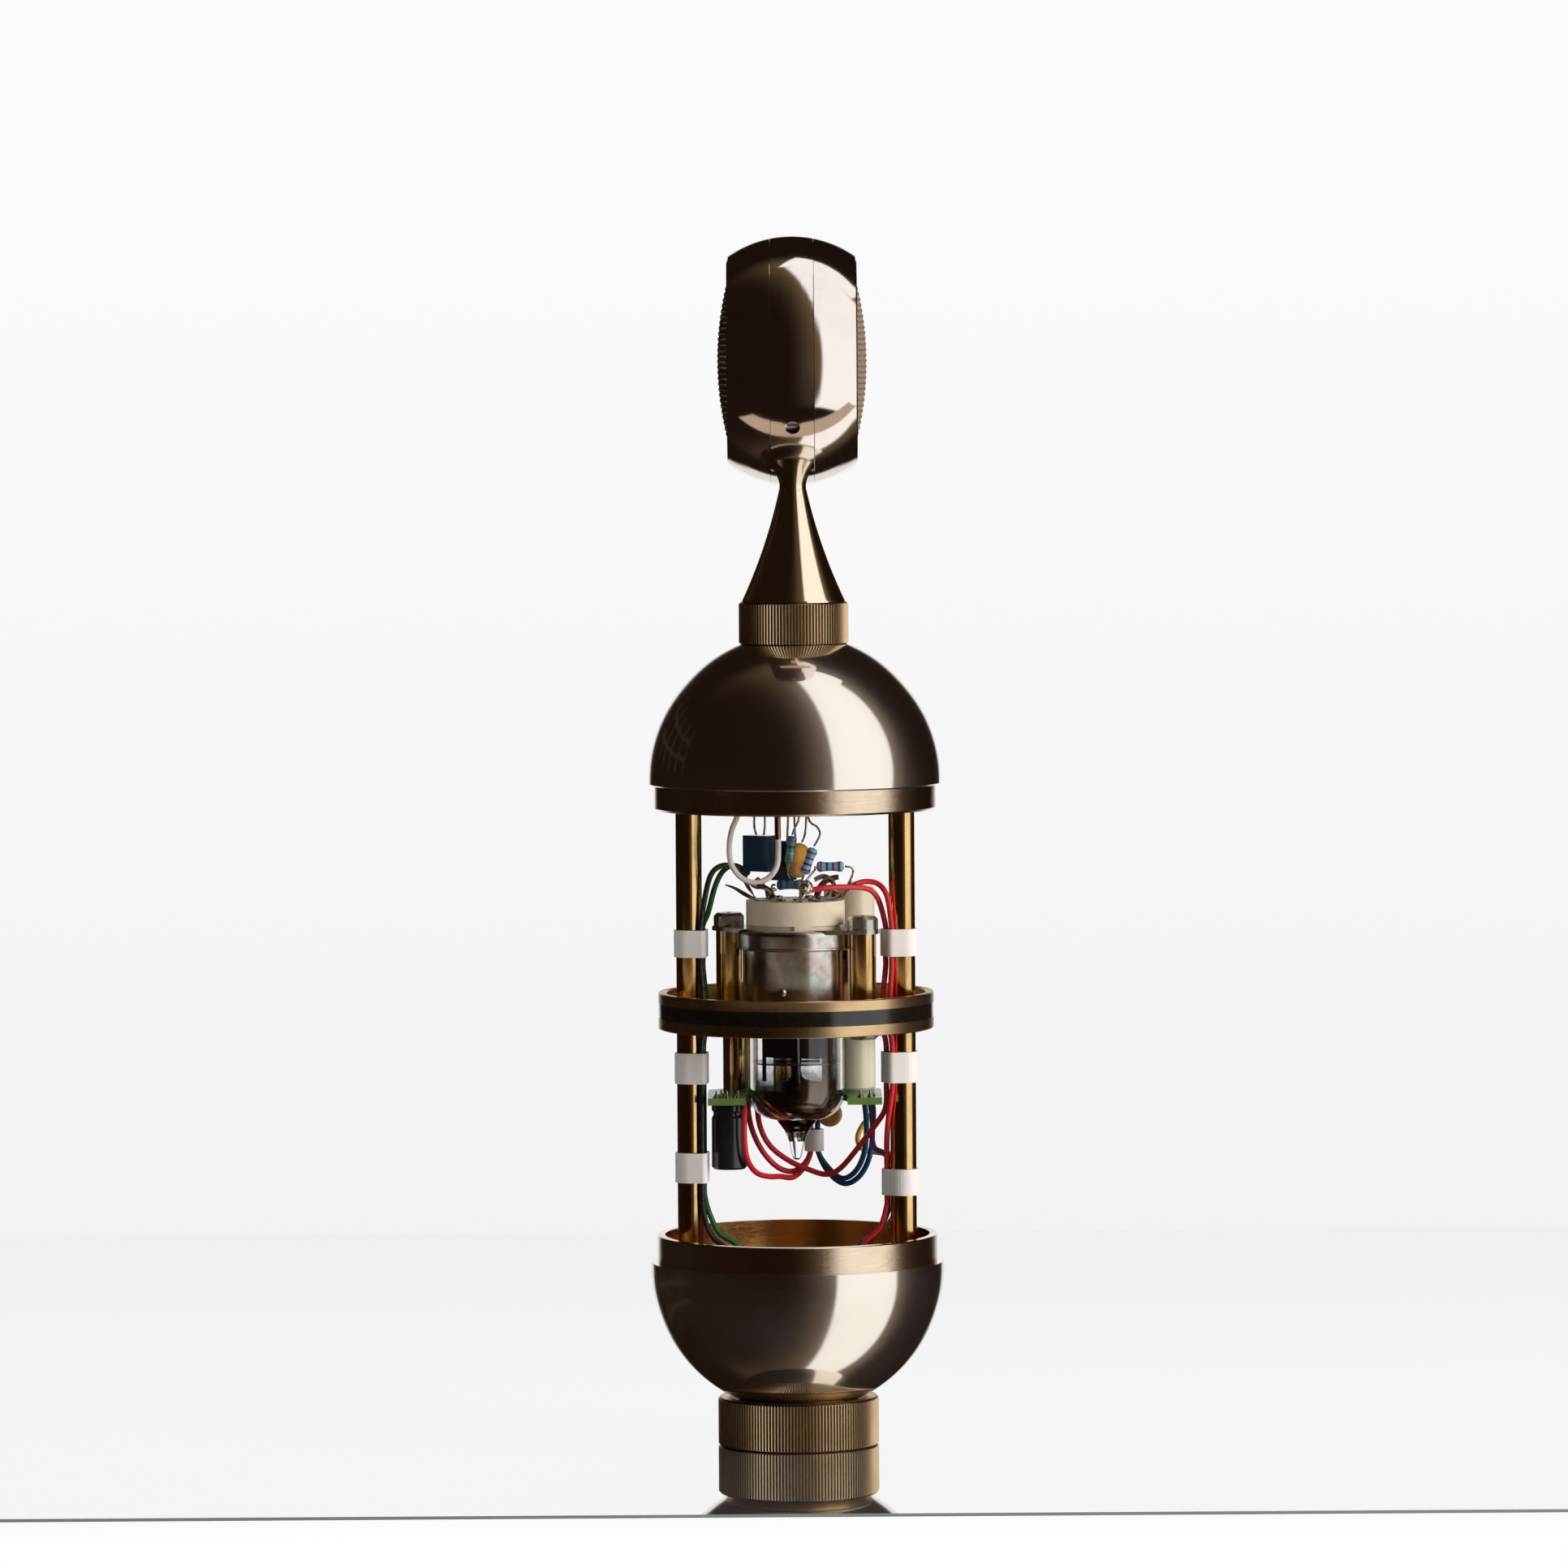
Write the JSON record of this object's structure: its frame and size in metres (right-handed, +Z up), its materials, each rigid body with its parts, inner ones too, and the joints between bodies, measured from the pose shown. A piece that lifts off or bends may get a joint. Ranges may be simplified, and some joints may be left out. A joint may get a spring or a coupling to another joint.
{
  "type": "tube condenser microphone",
  "caption": "Tube condenser microphone opened for service: lollipop capsule head with mesh faces, brass dome and bowl, two rods, miniature tube, circuit board and colored wires.",
  "frame": {"origin": "on the microphone's axis at the lower face of the knurled foot ring, which stands on the table", "axes": "+Z up along the axis; -Y is the side the picture shows; +X is the picture's right; the head's two mesh faces look along +X and -X"},
  "size_m": [0.067, 0.067, 0.2763],
  "materials": {
    "brass_satin": "fine turned satin brass",
    "brass_polished": "mirror polished brass",
    "brass_brushed": "satin brass, lightly tarnished",
    "mesh_brass": "woven brass wire",
    "gold_plate": "gold plating",
    "clamp_brass": "turned brass",
    "steel": "bright steel",
    "zinc_plate": "bright zinc plated sheet",
    "ptfe": "white insulating plastic",
    "capsule_resin": "brown moulded resin",
    "ceramic": "unglazed cream ceramic",
    "tag_board": "brown laminate",
    "black_enamel": "gloss black enamel",
    "glass": "clear glass",
    "anode_grey": "dark grey carbonised nickel",
    "mica": "pale mica",
    "board_green": "green laminate",
    "solder": "bright tin",
    "cap_black": "black plastic sleeve",
    "cap_cream": "cream film wrap",
    "cap_ochre": "ochre dipped resin",
    "cap_blue": "dark blue dipped resin",
    "resistor_blue": "blue lacquer",
    "pvc_white": "white plastic sleeve",
    "pvc_red": "red insulation",
    "pvc_black": "black insulation",
    "pvc_green": "green insulation",
    "pvc_blue": "blue insulation",
    "pvc_yellow": "yellow insulation",
    "pvc_violet": "violet insulation",
    "insert_black": "black insulating insert"
  },
  "bodies": {
    "head": {"head_stem": "brass_satin", "stem_nut": "brass_satin", "stem_bush": "ptfe", "stem_contact": "gold_plate", "head_center_ring": "brass_satin", "head_ring_left": "brass_satin", "head_ring_right": "brass_satin", "grille_left": "mesh_brass", "grille_right": "mesh_brass", "head_screws": "gold_plate", "capsule_mount": "ptfe", "capsule_core": "capsule_resin", "diaphragms": "gold_plate", "capsule_rings": "clamp_brass", "capsule_screws": "steel"},
    "collar": {"neck_collar": "brass_satin"},
    "body": {"dome_neck": "brass_satin", "neck_nut": "brass_satin", "neck_socket": "ptfe", "neck_contact": "gold_plate", "dome": "brass_polished", "top_ring": "brass_brushed", "terminal_board": "tag_board", "upper_rods": "brass_polished", "lower_rods": "brass_polished", "pan_screws": "steel", "mid_ring": "brass_satin", "ring_band": "black_enamel", "chassis_plate": "brass_satin", "upper_pillars": "brass_polished", "lower_pillars": "brass_polished", "socket_saddle": "zinc_plate", "socket_ceramic": "ceramic", "socket_contacts": "steel", "circuit_board": "board_green", "solder_joints": "solder", "electrolytic_capacitor": "cap_black", "film_capacitor": "cap_cream", "disc_capacitors": "cap_ochre", "box_capacitors": "cap_blue", "resistors": "resistor_blue", "component_leads": "solder", "wire_white": "pvc_white", "wires_red": "pvc_red", "wire_black": "pvc_black", "wire_green": "pvc_green", "wires_blue": "pvc_blue", "wire_yellow": "pvc_yellow", "wire_violet": "pvc_violet", "cable_sleeves": "pvc_white", "bottom_ring": "brass_brushed", "bowl": "brass_polished", "connector_insert": "insert_black", "connector_pins": "gold_plate"},
    "foot": {"foot_ring": "brass_satin"},
    "tube": {"tube_glass": "glass", "tube_anode": "anode_grey", "tube_micas": "mica", "tube_pins": "steel"},
    "shield": {"shield_can": "zinc_plate"}
  },
  "joints": [
    {"name": "head_swivel", "type": "hinge", "parent": "body", "child": "head", "pos_m": [0, 0, 0.188], "axis": [0, 0, 1], "range_deg": [-170, 170]},
    {"name": "collar_turn", "type": "hinge", "parent": "body", "child": "collar", "pos_m": [0, 0, 0.187], "axis": [0, 0, 1], "continuous": true},
    {"name": "foot_turn", "type": "hinge", "parent": "body", "child": "foot", "pos_m": [0, 0, 0.004], "axis": [0, 0, 1], "continuous": true},
    {"name": "shield_twist", "type": "hinge", "parent": "body", "child": "shield", "pos_m": [0, 0, 0.11], "axis": [0, 0, 1], "range_deg": [0, 25]},
    {"name": "tube_pull", "type": "slide", "parent": "body", "child": "tube", "axis": [0, 0, -1], "range_m": [0, 0.008]}
  ]
}
